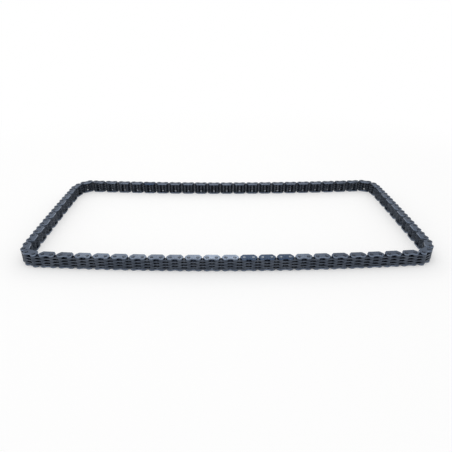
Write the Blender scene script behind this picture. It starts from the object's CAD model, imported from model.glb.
# %% [markdown]
# # A timing chain, plate by plate
# An inverted-tooth chain is a stack of stamped steel plates on shouldered pins. Here every plate and
# pin is set in place by one Geometry Nodes tree that reads a list of spots along the loop. The packed
# CAD model is the frame: it gives the bodies that move and the box that the looks have to stay in.

# %% Load the frame
import bpy
import bmesh
import math
from mathutils import Matrix, Vector


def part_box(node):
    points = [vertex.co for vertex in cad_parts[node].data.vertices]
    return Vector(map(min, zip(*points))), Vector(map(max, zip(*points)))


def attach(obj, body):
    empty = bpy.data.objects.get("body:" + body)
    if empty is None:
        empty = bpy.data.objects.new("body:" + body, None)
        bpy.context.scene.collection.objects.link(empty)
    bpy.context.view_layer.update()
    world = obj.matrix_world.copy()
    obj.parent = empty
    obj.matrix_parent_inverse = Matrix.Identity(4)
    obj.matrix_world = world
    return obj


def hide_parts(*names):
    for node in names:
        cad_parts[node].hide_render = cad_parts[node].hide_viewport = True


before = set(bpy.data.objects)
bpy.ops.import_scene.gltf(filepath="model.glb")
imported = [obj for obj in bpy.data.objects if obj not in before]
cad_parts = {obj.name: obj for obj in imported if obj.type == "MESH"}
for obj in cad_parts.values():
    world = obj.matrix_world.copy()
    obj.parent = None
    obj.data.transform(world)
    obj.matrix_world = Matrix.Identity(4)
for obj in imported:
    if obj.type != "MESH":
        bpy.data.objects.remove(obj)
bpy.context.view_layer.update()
MM = 0.001

# %% [markdown]
# ## The line of the loop
# The chain is laid link by link. Each link turns to its own heading and ends one pitch further on, so
# one list of headings fixes the place of all the pins. The long runs bow a little, the same way in
# the world, and opposite corners are alike, which is why the last link meets the first pin again.
# A curve could carry the links too, but a chain bends only at its pins, and headings say just that.

# %% Lay out the links
PITCH = 9.525 * MM
WING, MIDDLE, SIDE_A, SIDE_B = 15, 13, 9, 8
RUN_BOW, SIDE_BOW = 5.0, 1.0
TIGHT_CORNER = (34, 56, 72)
WIDE_CORNER = (10, 38, 68)
STRETCHES = [
    ("front_left_run", WING), ("front_middle_run", MIDDLE), ("front_right_run", WING),
    *[(f"front_right_link_{k}", 1) for k in (1, 2, 3)],
    ("right_run_front", SIDE_A), ("right_run_back", SIDE_B),
    *[(f"back_right_link_{k}", 1) for k in (1, 2, 3)],
    ("back_right_run", WING), ("back_middle_run", MIDDLE), ("back_left_run", WING),
    *[(f"back_left_link_{k}", 1) for k in (1, 2, 3)],
    ("left_run_back", SIDE_A), ("left_run_front", SIDE_B),
    *[(f"front_left_link_{k}", 1) for k in (1, 2, 3)],
]


def bowed(count, bow, base):
    """Headings in degrees that turn evenly from base - bow to base + bow."""
    return [base + bow * (2 * i / (count - 1) - 1) for i in range(count)]


def loop_headings():
    run, side = 2 * WING + MIDDLE, SIDE_A + SIDE_B
    degrees = []
    for base, bow in ((0, RUN_BOW), (180, -RUN_BOW)):
        degrees += bowed(run, bow, base) + [base + turn for turn in TIGHT_CORNER]
        degrees += bowed(side, SIDE_BOW, base + 90) + [base + 90 + turn for turn in WIDE_CORNER]
    return [math.radians(d) for d in degrees]


def walk(headings):
    place, places = Vector((0, 0)), []
    for heading in headings:
        places.append(place.copy())
        place += PITCH * Vector((math.cos(heading), math.sin(heading)))
    print(f"{len(headings)} links; the loop closes to {place.length / MM:.6f} mm")
    return places


HEADINGS = loop_headings()
PIN_PLACES = walk(HEADINGS)

# %% [markdown]
# The CAD part stands centred on its box, while the list starts at its own first pin. The box round one
# body's pins tells how far the whole list has to be moved. The pins of the other bodies then show that
# it fits.

# %% Fit the loop to the frame
HEAD_RADIUS = 1.8 * MM


def stretch_links(name):
    """Numbers of the links in one stretch, and so in one body."""
    first = 0
    for stretch, count in STRETCHES:
        if stretch == name:
            return range(first, first + count)
        first += count


def is_guide_link(link):
    return link % 2 == 1


def pins_of(link):
    return [PIN_PLACES[link], PIN_PLACES[(link + 1) % len(PIN_PLACES)]]


def fit_to_frame(name):
    """Shift from the list's pins to the same pins in the frame."""
    low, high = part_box(f"{name}_pins")
    mine = [p for link in stretch_links(name) if is_guide_link(link) for p in pins_of(link)]
    left, near = min(p.x for p in mine) - HEAD_RADIUS, min(p.y for p in mine) - HEAD_RADIUS
    return Vector((low.x - left, low.y - near))


shift = fit_to_frame("front_middle_run")
PIN_PLACES = [p + shift for p in PIN_PLACES]
worst = max(fit_to_frame(name).length for name, _ in STRETCHES if f"{name}_pins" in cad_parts)
print(f"shift {shift.x / MM:.3f}, {shift.y / MM:.3f} mm; the frame's pins are met to {worst / MM:.4f} mm")

# %% [markdown]
# ## The toothed plate's outline
# The toothed plates carry the load. Each has a straight back, round ends about its two pins and two
# toes whose outer flanks, at 30 degrees, lie against the sprocket's teeth. The outline could be drawn
# point by point, but it is nothing but arcs and the straight lines that touch them, so it is written as
# arcs: the end, the toe and half of the notch between the toes, then their mirror image. To shrink the
# outline by a small amount only the radii change, which is all that a rounded rim needs.

# %% Describe the toothed plate
PLATE_T, END_R, TOE_DEPTH, TOE_R, NOTCH_R = 1.6 * MM, 3.5 * MM, 5.7 * MM, 1.65 * MM, 2.2 * MM
FLANK = math.radians(30)
HALF = PITCH / 2
TOE_Y = TOE_DEPTH - TOE_R
TOE_X = HALF + (END_R - TOE_R - TOE_Y * math.sin(FLANK)) / math.cos(FLANK)
NOTCH_Y = TOE_Y - (TOE_X * math.cos(FLANK) - TOE_R - NOTCH_R) / math.sin(FLANK)
BACK_ANGLE, OUTER_ANGLE, INNER_ANGLE = -math.pi / 2, FLANK, math.pi - FLANK
END_STEPS, TOE_STEPS, NOTCH_STEPS = 6, 4, 3
ON_THE_MIDDLE = 1e-7


def arc(x, y, radius, start, end, steps):
    """Points along an arc, from one angle to the other."""
    angles = [start + (end - start) * k / steps for k in range(steps + 1)]
    return [(x + radius * math.cos(a), y + radius * math.sin(a)) for a in angles]


def mirrored(right_half):
    """The right half, then its mirror image back again; a point on the middle line isn't repeated."""
    left = [(-x, y) for x, y in reversed(right_half)]
    return right_half + [p for p in left if abs(p[0]) > ON_THE_MIDDLE]


def toothed_outline(inset=0.0):
    """The notch curves the other way, so its radius grows where the others shrink."""
    end = arc(HALF, 0, END_R - inset, BACK_ANGLE, OUTER_ANGLE, END_STEPS)
    toe = arc(TOE_X, TOE_Y, TOE_R - inset, OUTER_ANGLE, INNER_ANGLE, TOE_STEPS)
    notch = arc(0, NOTCH_Y, NOTCH_R + inset, -FLANK, BACK_ANGLE, NOTCH_STEPS)
    return mirrored(end + toe + notch)


notch_depth = TOE_DEPTH - (NOTCH_Y - NOTCH_R)
print(f"toothed outline: {len(toothed_outline())} points, notch {notch_depth / MM:.2f} mm deep")

# %% [markdown]
# ## The guide plate's outline
# The guide plates run outside the sprocket's teeth and keep the chain on it. A guide has two round lobes
# about its pins, a waist at the back, and a straight inner edge with small chamfers. The waist is one arc
# that touches both lobes, so its radius follows from its height, and each flank is the line from a corner
# of the inner edge to the lobe that it touches. Worked out this way, the waist and the flanks still meet
# the lobes smoothly when a size is changed.

# %% Describe the guide plate
GUIDE_T, LOBE_R, LOBE_OUT, LOBE_IN = 1.5 * MM, 3.85 * MM, 0.35 * MM, 0.3 * MM
WAIST_H, GUIDE_DEPTH, GUIDE_EDGE, GUIDE_CHAMFER = 2.1 * MM, 5.4 * MM, 5.85 * MM, 0.2 * MM
WAIST_STEPS, LOBE_STEPS = 5, 12


def inset_corner(point, normal_angle, along, inset):
    """A corner between an edge with this normal and the chamfer, moved in by the inset on both."""
    normal = Vector((math.cos(normal_angle), math.sin(normal_angle)))
    chamfer = Vector((along.y, -along.x)).normalized()
    chamfer = chamfer if chamfer.dot(normal) > 0 else -chamfer
    moved = point - inset * (normal + chamfer) / (1 + normal.dot(chamfer))
    return (moved.x, moved.y)


def guide_outline(inset=0.0):
    lobe_x = HALF + LOBE_OUT
    fall = WAIST_H + LOBE_IN
    waist_r = (lobe_x ** 2 + fall ** 2 - LOBE_R ** 2) / (2 * (LOBE_R - fall))
    waist_y = -WAIST_H - waist_r
    meet = math.atan2(waist_y - LOBE_IN, -lobe_x)
    waist = arc(0, waist_y, waist_r + inset, math.pi / 2, meet + math.pi, WAIST_STEPS)
    tip = Vector((GUIDE_EDGE, GUIDE_DEPTH))
    away = tip - Vector((lobe_x, LOBE_IN))
    normal = math.atan2(away.y, away.x) - math.acos(LOBE_R / away.length)
    lobe = arc(lobe_x, LOBE_IN, LOBE_R - inset, meet, normal, LOBE_STEPS)
    flank_end = tip + GUIDE_CHAMFER * Vector((math.sin(normal), -math.cos(normal)))
    edge_end = tip - GUIDE_CHAMFER * Vector((1, 0))
    chamfer = [inset_corner(flank_end, normal, edge_end - flank_end, inset),
               inset_corner(edge_end, math.pi / 2, flank_end - edge_end, inset)]
    return mirrored(waist + lobe + chamfer)


print("guide outline:", len(guide_outline()), "points")

# %% [markdown]
# ## The edge of a stamped plate
# A press shears a plate out of strip. Where the punch goes in, the upper face is drawn down into a round
# rim. Where it comes out it leaves a burr, which tumbling wears down to a narrow bevel. A Bevel modifier
# would round both edges alike, so the plate is a pile of rings instead: the outline a bevel smaller on
# the lower face, full size up the wall, and shrinking along a quarter circle to the upper face.

# %% Pile up rings
LOWER_BEVEL = 0.08 * MM
PLATE_RIM_R, GUIDE_RIM_R = 0.13 * MM, 0.18 * MM
PLATE_RIM_STEPS, GUIDE_RIM_STEPS = 1, 3
FACE_SUPPORT = 0.05 * MM


def ring(bm, points, z):
    verts = [bm.verts.new((x, y, z)) for x, y in points]
    return verts, [bm.edges.new((verts[k - 1], verts[k])) for k in range(len(verts))]


def join_rings(bm, rings):
    """Quads between each ring and the next, all with the same number of points."""
    for (low, _), (high, _) in zip(rings, rings[1:]):
        for k in range(len(low)):
            bm.faces.new((low[k - 1], low[k], high[k], high[k - 1]))


def rim_profile(thickness, radius, steps, support):
    """Height and inset of each ring, from the lower face to the upper one."""
    turns = [math.pi / 2 * k / steps for k in range(steps + 1)]
    upper = [(thickness - radius * (1 - math.cos(a)), radius * (1 - math.sin(a))) for a in turns]
    upper = ([(thickness, radius + support)] if support else []) + upper
    return [(0.0, LOWER_BEVEL), (LOWER_BEVEL, 0.0)] + upper[::-1]


guide_rings = rim_profile(GUIDE_T, GUIDE_RIM_R, GUIDE_RIM_STEPS, FACE_SUPPORT)
print("rings of a guide's edge:", len(guide_rings))

# %% [markdown]
# ## What a mesh tells its material
# Wear and oil depend on where a point lies on its plate, and one material covers hundreds of plates that
# point in all directions. So every vertex keeps three numbers: `rim`, 1 on the outer wall and fading to 0
# over its two edges, `across`, from 0 on the lower face to 1 on the upper one, and `inward`, from 0 at
# the back to 1 at the toes. A template is one such mesh, hidden from the render, and copies of three
# templates make up the chain.

# %% Turn a mesh into a template
SMOOTH_BELOW = math.radians(38)


def template(name, bm, thickness):
    bmesh.ops.recalc_face_normals(bm, faces=bm.faces)
    across = bm.verts.layers.float.new("across")
    inward = bm.verts.layers.float.new("inward")
    for vert in bm.verts:
        vert[across] = vert.co.z / thickness
        vert[inward] = (vert.co.y + END_R) / (TOE_DEPTH + END_R)
    mesh = bpy.data.meshes.new(name)
    bm.to_mesh(mesh)
    bm.free()
    mesh.shade_smooth()
    mesh.set_sharp_from_angle(angle=SMOOTH_BELOW)
    obj = bpy.data.objects.new(name, mesh)
    bpy.context.scene.collection.objects.link(obj)
    obj.hide_render = True
    print(f"{name}: {len(mesh.polygons)} faces, {thickness / MM:.2f} mm thick")
    return obj


# %% [markdown]
# ## The two stamped plates
# Between the rings of the edge and the two bores the faces are filled with triangles. There are 462
# toothed plates, so theirs is the plainest mesh. The guides show their rims, so they get more rings, and
# one support ring that keeps the shading of the face flat. Both plates are a few hundredths of a
# millimetre smaller than in the CAD model, which leaves room for the play that they are given later.

# %% Build one plate of each kind
PLATE_BORE_R, GUIDE_BORE_R = 1.74 * MM, 1.51 * MM
PLATE_BORE_STEPS, GUIDE_BORE_STEPS = 8, 14
PLAY_ROOM = 0.04 * MM


def stamped_plate(name, outline, thickness, bore_r, bore_steps, rim_r, rim_steps, support=0.0):
    bm = bmesh.new()
    rim = bm.verts.layers.float.new("rim")
    rings = []
    for z, inset in rim_profile(thickness, rim_r, rim_steps, support):
        rings.append(ring(bm, outline(inset + PLAY_ROOM), z))
        for vert in rings[-1][0]:
            vert[rim] = 1.0 if 0 < z < thickness else 0.0
    join_rings(bm, rings)
    caps = [list(rings[0][1]), list(rings[-1][1])]
    for x in (-HALF, HALF):
        corner_r = bore_r / math.cos(math.pi / bore_steps)
        circle = arc(x, 0, corner_r, 0, 2 * math.pi, bore_steps)[:-1]
        bore = [ring(bm, circle, 0.0), ring(bm, circle, thickness)]
        join_rings(bm, bore)
        for cap, (_, edges) in zip(caps, bore):
            cap += edges
    for cap in caps:
        bmesh.ops.triangle_fill(bm, use_beauty=True, edges=cap)
    return template(name, bm, thickness)


toothed_template = stamped_plate(
    "toothed_template", toothed_outline, PLATE_T,
    PLATE_BORE_R, PLATE_BORE_STEPS, PLATE_RIM_R, PLATE_RIM_STEPS)
guide_template = stamped_plate(
    "guide_template", guide_outline, GUIDE_T,
    GUIDE_BORE_R, GUIDE_BORE_STEPS, GUIDE_RIM_R, GUIDE_RIM_STEPS, FACE_SUPPORT)

# %% [markdown]
# ## The pin
# A pin is turned, so its mesh is a half profile spun about its axis, written as radius and height in
# millimetres from one end to the shoulder. Only the riveted heads show: a shallow dome with the dimple
# that the riveting punch leaves. Here `rim` is 1 in the dimple and round the head's edge, where oil
# stays.

# %% Build one pin
STACK_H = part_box("front_middle_run_pins")[1].z
HEAD_PROFILE = [(0.0, 0.09), (0.35, 0.075), (0.55, 0.025), (0.8, 0.0), (1.15, 0.0), (1.42, 0.03),
                (1.63, 0.09), (1.76, 0.17), (1.8, 0.25), (1.76, 0.3), (1.5, 0.3), (1.5, 1.8), (1.7, 1.8)]
HEAD_EDGE_R, DIMPLE_R = 1.1, 0.4
PIN_SIDES = 20


def holds_oil(r):
    return 1.0 if r > HEAD_EDGE_R or r < DIMPLE_R else 0.0


def lathed_pin(name):
    bm = bmesh.new()
    rim = bm.verts.layers.float.new("rim")
    half = [(r * MM, z * MM, holds_oil(r)) for r, z in HEAD_PROFILE]
    profile = half + [(r, STACK_H - z, edge) for r, z, edge in reversed(half)]
    angles = [2 * math.pi * k / PIN_SIDES for k in range(PIN_SIDES)]
    rings = []
    for r, z, edge in profile[1:-1]:
        rings.append(ring(bm, [(r * math.cos(a), r * math.sin(a)) for a in angles], z))
        for vert in rings[-1][0]:
            vert[rim] = edge
    join_rings(bm, rings)
    for (verts, _), (_, z, edge) in ((rings[0], profile[0]), (rings[-1], profile[-1])):
        tip = bm.verts.new((0, 0, z))
        tip[rim] = edge
        for k in range(PIN_SIDES):
            bm.faces.new((verts[k - 1], verts[k], tip))
    return template(name, bm, STACK_H)


pin_template = lathed_pin("pin_template")

# %% [markdown]
# ## One small language for node trees
# Geometry and shader trees are both written as Python expressions. `Wire` wraps an output socket and
# turns + - * into Math nodes, and `Net.add` makes any other node from its type, its settings and the
# values or wires of its sockets. Colours go through a Mix node, because a Math node turns them grey.

# %% Wires and nets
class Wire:
    def __init__(self, net, socket):
        self.net, self.socket = net, socket

    def math(self, operation, other, swap=False):
        a, b = (other, self) if swap else (self, other)
        return self.net.add("ShaderNodeMath", {0: a, 1: b}, operation=operation)

    def __add__(self, other):
        return self.math("ADD", other)

    def __radd__(self, other):
        return self.math("ADD", other)

    def __sub__(self, other):
        return self.math("SUBTRACT", other)

    def __rsub__(self, other):
        return self.math("SUBTRACT", other, swap=True)

    def __mul__(self, other):
        return self.math("MULTIPLY", other)

    def __rmul__(self, other):
        return self.math("MULTIPLY", other)

    def clamp(self):
        return self.math("MAXIMUM", 0.0).math("MINIMUM", 1.0)

    def out(self, name):
        """Another output of the same node."""
        return Wire(self.net, self.socket.node.outputs[name])


class Net:
    def __init__(self, tree):
        self.tree = tree

    def add(self, kind, sockets=None, output=0, **settings):
        """A node: its settings first, then the value or wire of each socket, by name or number."""
        node = self.tree.nodes.new(kind)
        for key, value in settings.items():
            setattr(node, key, value)
        for key, value in (sockets or {}).items():
            socket = node.inputs[key]
            if isinstance(value, Wire):
                self.tree.links.new(value.socket, socket)
            else:
                socket.default_value = value
        return Wire(self, node.outputs[output]) if len(node.outputs) else None

    def mix_colour(self, factor, a, b):
        """Sockets 6 and 7 of the node are its two colours, and output 2 is the mixed one."""
        a, b = (c if isinstance(c, Wire) else (*c, 1.0) for c in (a, b))
        return self.add("ShaderNodeMix", {0: factor, 6: a, 7: b}, output=2, data_type="RGBA")


# %% [markdown]
# ## The tree that sets the pieces
# The input mesh has one loose vertex for each piece, with the piece's heading as an attribute. The tree
# puts the template on each vertex and turns it to its heading, with the little play that a real chain
# has. Each piece gets a random `tone` for its material, and the instances are made real at the end. A
# Python loop of copies would do as well, but the tree keeps the play and the seed as named inputs.

# %% Build the Geometry Nodes tree
SHIFT_PLAY, TURN_PLAY = 0.02 * MM, 0.003


def setting_tree():
    tree = bpy.data.node_groups.new("Set chain pieces", "GeometryNodeTree")
    sockets = [("Geometry", "NodeSocketGeometry", None), ("Piece", "NodeSocketObject", None),
               ("Play", "NodeSocketFloat", SHIFT_PLAY), ("Turn play", "NodeSocketFloat", TURN_PLAY),
               ("Tilt play", "NodeSocketFloat", 0.0), ("Seed", "NodeSocketInt", 1),
               ("Material", "NodeSocketMaterial", None)]
    for name, kind, value in sockets:
        socket = tree.interface.new_socket(name, in_out="INPUT", socket_type=kind)
        if value is not None:
            socket.default_value = value
    tree.interface.new_socket("Geometry", in_out="OUTPUT", socket_type="NodeSocketGeometry")
    net = Net(tree)
    given = net.add("NodeGroupInput")
    seed = given.out("Seed")

    def random_value(low, high, draw):
        """A number for each piece; sockets 2 and 3 of the node are its lowest and highest."""
        limits = {2: low, 3: high, "Seed": draw}
        return net.add("FunctionNodeRandomValue", limits, output=1, data_type="FLOAT")

    def spread(amount, offset):
        return random_value(-1.0, 1.0, seed + offset) * amount

    heading = net.add("GeometryNodeInputNamedAttribute", {"Name": "heading"}, data_type="FLOAT")
    tilt = given.out("Tilt play")
    turn = net.add("ShaderNodeCombineXYZ", {
        0: spread(tilt, 1), 1: spread(tilt, 2), 2: heading + spread(given.out("Turn play"), 3)})
    piece = net.add("GeometryNodeObjectInfo", {"Object": given.out("Piece"), "As Instance": True})
    set_down = net.add("GeometryNodeInstanceOnPoints", {
        "Points": given.out("Geometry"), "Instance": piece.out("Geometry"), "Rotation": turn})
    play = given.out("Play")
    shift = net.add("ShaderNodeCombineXYZ", {0: spread(play, 4), 1: spread(play, 5), 2: spread(play, 6)})
    moved = net.add("GeometryNodeTranslateInstances", {"Instances": set_down, "Translation": shift})
    toned = net.add("GeometryNodeStoreNamedAttribute", {
        "Geometry": moved, "Name": "tone", "Value": random_value(0.0, 1.0, seed)},
        data_type="FLOAT", domain="INSTANCE")
    real = net.add("GeometryNodeRealizeInstances", {"Geometry": toned})
    done = net.add("GeometryNodeSetMaterial", {"Geometry": real, "Material": given.out("Material")})
    net.add("NodeGroupOutput", {"Geometry": done})
    return tree


SETTING_TREE = setting_tree()
print("setting tree:", len(SETTING_TREE.nodes), "nodes")

# %% [markdown]
# The tree runs on a carrier object for one kind of piece on one body. Its result is taken as a plain
# mesh and the modifier is removed, so that each body owns meshes that simply ride with it.

# %% Run the tree for a list of spots
def set_pieces(name, spots, piece, material, seed, play, turn_play, tilt_play):
    """A plain mesh of one piece at every spot (x, y, z, heading)."""
    mesh = bpy.data.meshes.new(name)
    mesh.from_pydata([spot[:3] for spot in spots], [], [])
    heading = mesh.attributes.new("heading", "FLOAT", "POINT")
    heading.data.foreach_set("value", [spot[3] for spot in spots])
    carrier = bpy.data.objects.new(name, mesh)
    bpy.context.scene.collection.objects.link(carrier)
    modifier = carrier.modifiers.new("Set", "NODES")
    modifier.node_group = SETTING_TREE
    values = {"Piece": piece, "Play": play, "Turn play": turn_play, "Tilt play": tilt_play,
              "Seed": seed, "Material": material}
    for socket in SETTING_TREE.interface.items_tree:
        if socket.in_out == "INPUT" and socket.name in values:
            modifier[socket.identifier] = values[socket.name]
    graph = bpy.context.evaluated_depsgraph_get()
    result = bpy.data.meshes.new_from_object(carrier.evaluated_get(graph), depsgraph=graph)
    carrier.modifiers.clear()
    carrier.data = result
    return carrier


# %% [markdown]
# ## Steel in a shader
# The whole chain is hardened steel with an oil film, but its pieces are finished differently. The guides
# come out of the tumbler smooth and blue-grey, the toothed plates are darker, and the pins are brighter.
# One function mixes them all from the same things that happen to real plates, so that they look like
# one chain: every piece is a little lighter or darker than its neighbour, oil lies in soft patches, rims
# are worn bright, and a sheared wall has a smooth band above a rough torn one. The walls of the toes are
# nearly black, because the oil gathers there. Noise scales are in cells per metre.

# %% Describe what happens to steel
PATCHES, WEAR, SCRATCHES, TEARS, GRAIN = 55.0, 420.0, 900.0, 1500.0, 2600.0
PATCH_EDGE, WEAR_EDGE, SCRATCH_EDGE = (0.46, 0.64), (0.38, 0.62), (0.6, 0.72)
TEAR_LINE, TOE_FADE = (0.62, 0.35), (0.45, 0.95)
FINE_LINES, UPRIGHT_LINES = (1.0, 9.0, 1.0), (1.0, 1.0, 0.3)
THICK_OIL, OILY_EDGE = (0.008, 0.009, 0.011), (0.012, 0.014, 0.018)
LIGHTEST_TONE, TONE_SHARE, GRAIN_SHARE = 1.35, 0.55, 0.25
TORN_SHARE, WORN_SHARE, SCRATCH_SHARE = 0.8, 0.45, 0.12
STEEL_BUMP, STEEL_RELIEF = 0.35, 0.02 * MM


def blank_material(name):
    material = bpy.data.materials.new(name)
    material.use_nodes = True
    material.node_tree.nodes.clear()
    return material, Net(material.node_tree)


def attribute(net, name):
    return net.add("ShaderNodeAttribute", attribute_name=name).out("Fac")


def noise(net, place, scale, detail=3.0, stretch=(1.0, 1.0, 1.0)):
    """Noise on the piece's own coordinates; a stretch above 1 squeezes it along that axis."""
    placed = net.add("ShaderNodeMapping", {"Vector": place, "Scale": stretch})
    return net.add("ShaderNodeTexNoise", {"Vector": placed, "Scale": scale, "Detail": detail})


def band(net, value, zero_at, one_at):
    """Smooth from 0 at one limit to 1 at the other, whichever is the larger, and flat beyond them."""
    limits = {"Value": value, 1: zero_at, 2: one_at}
    return net.add("ShaderNodeMapRange", limits, interpolation_type="SMOOTHSTEP")


# %% [markdown]
# The arguments are what differs between the pieces: `oil` is how much of it lies on a face, `wall` the
# share of the colour that is left on a torn wall and under oil, `toes` how black the toes get, and `ring`
# how black the oil makes a pin head's edge and dimple.

# %% Mix the steels
def steel(name, colour, worn, roughness, oil=0.2, wall=0.6, toes=0.0, ring=0.0):
    material, net = blank_material(name)
    place = net.add("ShaderNodeTexCoord").out("Object")
    tone, rim, across, inward = (attribute(net, key) for key in ("tone", "rim", "across", "inward"))
    patches = band(net, noise(net, place, PATCHES), *PATCH_EDGE)
    grain = noise(net, place, GRAIN, 2.0)
    scratches = band(net, noise(net, place, SCRATCHES, 4.0, FINE_LINES), *SCRATCH_EDGE)
    torn = band(net, across, *TEAR_LINE) * rim
    wear = (band(net, noise(net, place, WEAR), *WEAR_EDGE) * 0.7 + 0.3) * rim * (1 - torn * TORN_SHARE)
    darker = tuple(c * wall for c in colour)
    lighter = tuple(min(1.0, c * LIGHTEST_TONE) for c in colour)
    base = net.mix_colour(tone * TONE_SHARE + grain * GRAIN_SHARE, colour, lighter)
    base = net.mix_colour(patches * oil, base, darker)
    base = net.mix_colour(band(net, inward, *TOE_FADE) * rim * toes, base, THICK_OIL)
    base = net.mix_colour(torn * TORN_SHARE, base, darker)
    base = net.mix_colour((wear * WORN_SHARE + scratches * SCRATCH_SHARE).clamp(), base, worn)
    base = net.mix_colour(rim * ring, base, OILY_EDGE)
    rough = (roughness + grain * 0.12 - patches * 0.08 + torn * 0.25 - wear * 0.06).clamp()
    tears = noise(net, place, TEARS, 1.0, UPRIGHT_LINES)
    height = grain * 0.25 + scratches * 0.3 + torn * tears * 1.5
    bump = net.add("ShaderNodeBump", {
        "Height": height, "Strength": STEEL_BUMP, "Distance": STEEL_RELIEF})
    shader = net.add("ShaderNodeBsdfPrincipled", {
        "Base Color": base, "Metallic": 1.0, "Roughness": rough, "Normal": bump,
        "Specular IOR Level": 0.5, "Coat Roughness": 0.12, "Coat Weight": patches * oil})
    net.add("ShaderNodeOutputMaterial", {"Surface": shader})
    print(f"{name}: {len(material.node_tree.nodes)} nodes")
    return material


PLATE_STEEL = steel("Oiled plate steel", (0.063, 0.076, 0.101), (0.18, 0.21, 0.26), 0.38,
                    oil=0.3, wall=0.7, toes=0.95)
GUIDE_STEEL = steel("Tumbled guide steel", (0.16, 0.2, 0.275), (0.26, 0.31, 0.38), 0.2,
                    oil=0.15, wall=0.4)
PIN_STEEL = steel("Riveted pin steel", (0.18, 0.225, 0.31), (0.33, 0.39, 0.48), 0.17, ring=0.9)
BARE_PIN_STEEL = steel("Bare pin steel", (0.42, 0.49, 0.59), (0.55, 0.62, 0.72), 0.28,
                       oil=0.1, ring=0.6)

# %% [markdown]
# ## The timing marks
# Three guides of the front run and one of the back run carry a dark blue finish, so that a mechanic can
# line them up with marks on the sprockets. It is a thin satin coat over the same steel, uneven, and
# rubbed through here and there, most of all along the rims. It is mixed on its own, because what shows
# on it is not wear of the steel but the coat's own clouds and bare spots.

# %% Mix the timing marks' finish
CLOUDS, RUBS, RUB_EDGE, RUBBED_RIM = 160.0, 700.0, (0.7, 0.78), 0.16
LIGHTEST_CLOUD = 1.5
MARK_BUMP, MARK_RELIEF = 0.4, 0.03 * MM


def marked_steel(name, colour, steel_colour):
    material, net = blank_material(name)
    place = net.add("ShaderNodeTexCoord").out("Object")
    tone, rim = attribute(net, "tone"), attribute(net, "rim")
    cloud = noise(net, place, CLOUDS)
    rubbed = band(net, noise(net, place, RUBS, 5.0) + rim * RUBBED_RIM, *RUB_EDGE)
    lighter = tuple(c * LIGHTEST_CLOUD for c in colour)
    base = net.mix_colour((cloud * 0.7 + tone * 0.3).clamp(), colour, lighter)
    base = net.mix_colour(rubbed, base, steel_colour)
    bump = net.add("ShaderNodeBump", {
        "Height": cloud * 0.6 - rubbed * 0.5, "Strength": MARK_BUMP, "Distance": MARK_RELIEF})
    shader = net.add("ShaderNodeBsdfPrincipled", {
        "Base Color": base, "Metallic": rubbed * 0.2 + 0.8, "Roughness": 0.34 - rubbed * 0.06,
        "Coat Weight": (1 - rubbed) * 0.04, "Coat Roughness": 0.15, "Normal": bump})
    net.add("ShaderNodeOutputMaterial", {"Surface": shader})
    print(f"{name}: {len(material.node_tree.nodes)} nodes")
    return material


MARK_FINISH = marked_steel("Timing mark blue", (0.034, 0.062, 0.118), (0.13, 0.16, 0.22))

# %% [markdown]
# ## Filling the pins
# Every odd link is a guide link: two guide plates riveted on the two pins, with three rows of toothed
# plates between them. Every even link is four rows of toothed plates, above, below and between those
# three. That is why the chain bends: neighbouring links share nothing but a pin. The spots of all the
# pieces follow from the row and the link, so they are worked out rather than listed.

# %% Find the spot of every piece
HEAD_H, SIDE_GAP, ROWS = 0.3 * MM, 0.08 * MM, 7
FIRST_ROW = HEAD_H + GUIDE_T + SIDE_GAP
UPPER_GUIDE_Z = STACK_H - HEAD_H - GUIDE_T


def link_spot(link, z):
    near, far = pins_of(link)
    middle = (near + far) / 2
    return (middle.x, middle.y, z, HEADINGS[link])


def plate_spots(links):
    """Offset links fill the lowest row, the highest and every second one; guide links the others."""
    rows = [(link, row) for link in links for row in range(ROWS) if (row + link) % 2 == 0]
    return [link_spot(link, FIRST_ROW + row * (PLATE_T + SIDE_GAP)) for link, row in rows]


def pin_spots(links):
    return [(pin.x, pin.y, 0.0, HEADINGS[link]) for link in links for pin in pins_of(link)]


print(f"first row at {FIRST_ROW / MM:.2f} mm, upper guides at {UPPER_GUIDE_Z / MM:.2f} mm")

# %% [markdown]
# Each kind of piece on each body becomes one mesh that stands for a CAD node. Plates shift by up to
# 0.02 mm and turn by a few thousandths of a radian, guides also tilt a little, and a pin only turns. The
# marked guides are meshes of their own for their finish. So are the pins under the marks of the front
# run, whose heads are bare and bright. The plain pieces have another seed in every mesh, so that no two
# stretches look alike.

# %% Set every piece of every body
MARKED_LINKS = {"front_middle_run": (23, 25, 27), "back_left_run": (99,)}
BARE_HEADS = ("front_middle_run",)
GUIDE_TILT = 0.004
PLATE_PLAY = (SHIFT_PLAY, TURN_PLAY, 0.0)
GUIDE_PLAY = (SHIFT_PLAY, TURN_PLAY, GUIDE_TILT)
PIN_PLAY = (0.0, TURN_PLAY, 0.0)
SEEDS_PER_BODY, PLATE_SEED, GUIDE_SEED, PIN_SEED = 10, 14, 12, 10
MARK_SEED, BARE_HEAD_SEED = 7, 8
PLATES = (toothed_template, PLATE_STEEL, PLATE_PLAY, "plate_steel")
GUIDES = (guide_template, GUIDE_STEEL, GUIDE_PLAY, "guide_steel")
PINS = (pin_template, PIN_STEEL, PIN_PLAY, "pin_steel")
MARKS = (guide_template, MARK_FINISH, GUIDE_PLAY, "timing_mark_finish")
BARE_PINS = (pin_template, BARE_PIN_STEEL, PIN_PLAY, "pin_steel")
report = []


def dress(body, kind, node, spots, look, seed):
    """Set one kind of piece and tie its mesh to its body, node and slot.

    The report gets how far the mesh reaches past the node's box, and its number of triangles.
    """
    if not spots:
        return
    shape, material, play, slot = look
    piece = set_pieces(f"{body}_{kind}", spots, shape, material, seed, *play)
    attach(piece, body)
    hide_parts(node)
    low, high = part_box(node)
    beyond = max(max(low[k] - c[k], c[k] - high[k]) for c in piece.bound_box for k in range(3))
    report.append((beyond, sum(len(face.vertices) - 2 for face in piece.data.polygons)))


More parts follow.
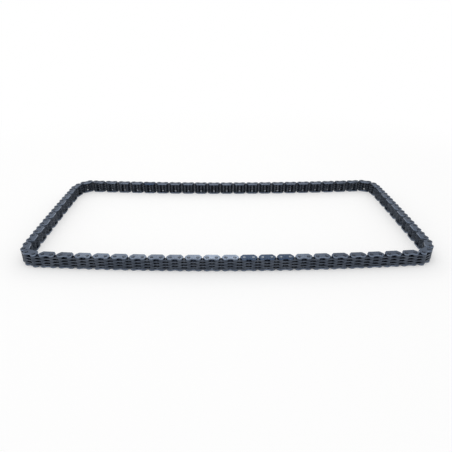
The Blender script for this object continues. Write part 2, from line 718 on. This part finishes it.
def dress_body(body, first_seed):
    links = stretch_links(body)
    guide_links = [link for link in links if is_guide_link(link)]
    marked = MARKED_LINKS.get(body, ())
    bare = marked if body in BARE_HEADS else ()
    guides = [link_spot(link, UPPER_GUIDE_Z) for link in guide_links if link not in marked]
    guides += [link_spot(link, HEAD_H) for link in guide_links]
    pins = pin_spots(link for link in guide_links if link not in bare)
    marks = [link_spot(link, UPPER_GUIDE_Z) for link in marked]
    mark_node = "timing_mark_guides" if body == "front_middle_run" else f"{body}_guides"
    dress(body, "toothed_plates", f"{body}_plates", plate_spots(links), PLATES, first_seed + PLATE_SEED)
    dress(body, "guide_plates", f"{body}_guides", guides, GUIDES, first_seed + GUIDE_SEED)
    dress(body, "chain_pins", f"{body}_pins", pins, PINS, first_seed + PIN_SEED)
    dress(body, "timing_marks", mark_node, marks, MARKS, MARK_SEED)
    dress(body, "marked_pins", f"{body}_pins", pin_spots(bare), BARE_PINS, BARE_HEAD_SEED)


for number, (body, _) in enumerate(STRETCHES):
    dress_body(body, SEEDS_PER_BODY * number)
for spare in (toothed_template, guide_template, pin_template):
    bpy.data.objects.remove(spare)
print(f"{len(report)} pieces, {sum(triangles for _, triangles in report)} triangles")
print(f"the furthest reach past a node's own box is {max(beyond for beyond, _ in report) / MM:.3f} mm")

# %% [markdown]
# ## The table
# A white sheet under the chain. It is stage, not part of the object. Near the chain it is mostly paper,
# which takes the shadow, and three tenths of it is glow, which lightens that shadow. Further out it is
# all glow, so that no horizon shows. The glow is there only for the camera, mirrors and glass.

# %% Lay the floor
FLOOR_REACH, NEAR_GLOW, GLOW_FROM, GLOW_FULL = 6.0, 0.3, 0.26, 0.75


def shown_directly(net):
    """1 for rays that end up in the picture by themselves, by a mirror or through glass, else 0."""
    path = net.add("ShaderNodeLightPath")
    shown = path.out("Is Camera Ray") + path.out("Is Glossy Ray") + path.out("Is Transmission Ray")
    return shown.clamp()


def pale_floor():
    bm = bmesh.new()
    bmesh.ops.create_grid(bm, x_segments=1, y_segments=1, size=FLOOR_REACH)
    mesh = bpy.data.meshes.new("floor")
    bm.to_mesh(mesh)
    bm.free()
    floor = bpy.data.objects.new("floor", mesh)
    bpy.context.scene.collection.objects.link(floor)
    material, net = blank_material("White sheet")
    paper = net.add("ShaderNodeBsdfPrincipled", {
        "Base Color": (0.94, 0.94, 0.94, 1.0), "Roughness": 0.9, "Specular IOR Level": 0.0})
    place = net.add("ShaderNodeTexCoord").out("Object")
    distance = net.add("ShaderNodeVectorMath", {0: place}, output=1, operation="LENGTH")
    glow = net.add("ShaderNodeEmission", {"Color": (1.0, 1.0, 1.0, 1.0), "Strength": 1.0})
    share = band(net, distance, GLOW_FROM, GLOW_FULL) * (1 - NEAR_GLOW) + NEAR_GLOW
    surface = net.add("ShaderNodeMixShader", {0: share * shown_directly(net), 1: paper, 2: glow})
    net.add("ShaderNodeOutputMaterial", {"Surface": surface})
    mesh.materials.append(material)
    print(f"floor: mostly paper within {GLOW_FROM} m of the middle, all glow from {GLOW_FULL} m")


pale_floor()

# %% [markdown]
# ## Light
# The room is white to the camera and dimmer for the light that it sheds. In reflections it is dimmer
# still, or the steel would come out too pale. One large softbox overhead draws the shadow. Two
# more, low and far behind the chain, are the ones that the front guides mirror: in a flat polished
# plate a highlight is the image of a lamp, so they are placed by following the camera's ray down to the
# plate and up again.

# %% Light the scene
ROOM_LIGHT, MIRRORED_ROOM = 0.84, 0.46
WHITE, WARM_WHITE = (1.0, 1.0, 1.0), (1.0, 0.96, 0.88)


def white_room():
    world = bpy.data.worlds.new("White room")
    world.use_nodes = True
    world.node_tree.nodes.clear()
    net = Net(world.node_tree)
    path = net.add("ShaderNodeLightPath")
    seen = (path.out("Is Camera Ray") + path.out("Is Transmission Ray")).clamp()
    mirrored_room = path.out("Is Glossy Ray") * (MIRRORED_ROOM - ROOM_LIGHT)
    strength = seen * (1 - ROOM_LIGHT) + mirrored_room + ROOM_LIGHT
    room = net.add("ShaderNodeBackground", {"Color": (1.0, 1.0, 1.0, 1.0), "Strength": strength})
    net.add("ShaderNodeOutputWorld", {"Surface": room})
    bpy.context.scene.world = world


def softbox(name, place, target, size, watts, colour):
    lamp = bpy.data.lights.new(name, "AREA")
    lamp.color = colour
    lamp.shape, lamp.size, lamp.size_y, lamp.energy = "RECTANGLE", size[0], size[1], watts
    obj = bpy.data.objects.new(name, lamp)
    bpy.context.scene.collection.objects.link(obj)
    aim = (Vector(target) - Vector(place)).to_track_quat("-Z", "Y")
    obj.matrix_world = Matrix.Translation(place) @ aim.to_matrix().to_4x4()
    print(f"{name}: radiance {watts / (math.pi * size[0] * size[1]):.2f}")


white_room()
softbox("overhead softbox", place=(-0.12, -0.15, 1.3), target=(0, 0, 0),
        size=(0.9, 0.9), watts=3.6, colour=WHITE)
softbox("far softbox", place=(0.13, 0.96, 0.68), target=(0.0, -0.1, 0.01),
        size=(0.42, 0.2), watts=0.36, colour=WARM_WHITE)
softbox("far left softbox", place=(-0.24, 0.96, 0.68), target=(-0.1, -0.1, 0.01),
        size=(0.69, 0.2), watts=0.47, colour=WARM_WHITE)

# %% [markdown]
# ## Camera
# The photograph was taken from in front, about half a metre away and 26.5 degrees above the table. The
# angles, the lens and the shift were fitted to the centres of the guides that can be picked out in it.

# %% Set up the camera
PHOTO_WIDTH, FOCAL_PIXELS, AXIS_ABOVE_MIDDLE = 452, 403.0, 9.8
SENSOR_WIDTH = 36.0
CAMERA_PLACE = (-0.01108, -0.45849, 0.23774)
PAN, LOOK_DOWN, ROLL = math.radians(-1.05), math.radians(26.5), math.radians(0.3)


def photo_camera():
    lens = bpy.data.cameras.new("camera")
    lens.sensor_width = SENSOR_WIDTH
    lens.lens = SENSOR_WIDTH * FOCAL_PIXELS / PHOTO_WIDTH
    lens.shift_y = -AXIS_ABOVE_MIDDLE / PHOTO_WIDTH
    camera = bpy.data.objects.new("camera", lens)
    bpy.context.scene.collection.objects.link(camera)
    turn = Matrix.Rotation(PAN, 4, "Z") @ Matrix.Rotation(math.pi / 2 - LOOK_DOWN, 4, "X")
    camera.matrix_world = Matrix.Translation(CAMERA_PLACE) @ turn @ Matrix.Rotation(ROLL, 4, "Z")
    bpy.context.scene.camera = camera
    print(f"camera: {lens.lens:.1f} mm lens, shift {lens.shift_y:.4f}")


photo_camera()
bpy.context.scene.view_settings.view_transform = "Standard"
